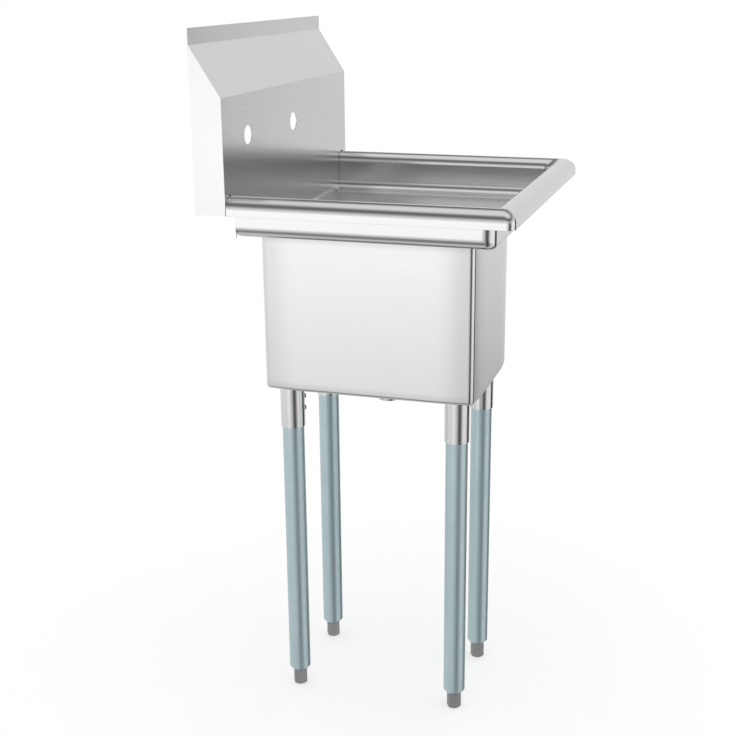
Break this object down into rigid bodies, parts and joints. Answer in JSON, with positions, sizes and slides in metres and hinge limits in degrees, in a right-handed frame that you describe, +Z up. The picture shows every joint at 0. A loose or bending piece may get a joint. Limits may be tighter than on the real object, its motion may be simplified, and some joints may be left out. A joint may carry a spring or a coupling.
{
  "type": "utility laundry sink",
  "caption": "Free-standing stainless utility sink with a deep bowl, a flat drainboard, rolled rims, a high backsplash, a basket strainer and pipe legs on screw feet.",
  "frame": {"origin": "on the floor, under the middle of the sink's width and depth, with the feet screwed in", "axes": "+X to the user's right along the width, +Y from the front roll to the wall, +Z up"},
  "size_m": [0.584, 0.508, 1.158],
  "materials": {
    "stainless_sheet": "brushed stainless sheet, fine grain",
    "galvanised_channel": "galvanised sheet",
    "drain_steel": "polished stainless",
    "rubber": "matt black rubber",
    "fibre": "pressed fibre",
    "nut_metal": "cast and plated",
    "socket_steel": "turned stainless tube",
    "screw_zinc": "zinc-plated",
    "galvanised_pipe": "galvanised pipe, pale blue-green",
    "insert_zinc": "zinc-plated",
    "foot_grey": "dull grey plated steel"
  },
  "bodies": {
    "sink": {"backsplash": "stainless_sheet", "end_cap_left": "stainless_sheet", "end_cap_right": "stainless_sheet", "deck_pan": "stainless_sheet", "rim_left": "stainless_sheet", "rim_right": "stainless_sheet", "rim_front": "stainless_sheet", "bowl": "stainless_sheet", "deck_channel": "galvanised_channel", "strainer_body": "drain_steel", "drain_gasket": "rubber", "drain_washer": "fibre", "drain_locknut": "nut_metal", "leg_socket_front_left": "socket_steel", "leg_socket_front_right": "socket_steel", "leg_socket_back_left": "socket_steel", "leg_socket_back_right": "socket_steel", "set_screws_front_left": "screw_zinc", "set_screws_front_right": "screw_zinc", "set_screws_back_left": "screw_zinc", "set_screws_back_right": "screw_zinc", "leg_pipe_front_left": "galvanised_pipe", "leg_pipe_front_right": "galvanised_pipe", "leg_pipe_back_left": "galvanised_pipe", "leg_pipe_back_right": "galvanised_pipe", "foot_insert_front_left": "insert_zinc", "foot_insert_front_right": "insert_zinc", "foot_insert_back_left": "insert_zinc", "foot_insert_back_right": "insert_zinc"},
    "basket": {"strainer_basket": "drain_steel", "basket_stopper": "rubber"},
    "foot_front_left": {"foot_front_left": "foot_grey"},
    "foot_front_right": {"foot_front_right": "foot_grey"},
    "foot_back_left": {"foot_back_left": "foot_grey"},
    "foot_back_right": {"foot_back_right": "foot_grey"}
  },
  "joints": [
    {"name": "basket_lift", "type": "slide", "parent": "sink", "child": "basket", "axis": [0, 0, 1], "range_m": [0, 0.1]},
    {"name": "foot_front_left_screw", "type": "slide", "parent": "sink", "child": "foot_front_left", "axis": [0, 0, -1], "range_m": [0, 0.025]},
    {"name": "foot_front_right_screw", "type": "slide", "parent": "sink", "child": "foot_front_right", "axis": [0, 0, -1], "range_m": [0, 0.025]},
    {"name": "foot_back_left_screw", "type": "slide", "parent": "sink", "child": "foot_back_left", "axis": [0, 0, -1], "range_m": [0, 0.025]},
    {"name": "foot_back_right_screw", "type": "slide", "parent": "sink", "child": "foot_back_right", "axis": [0, 0, -1], "range_m": [0, 0.025]}
  ]
}
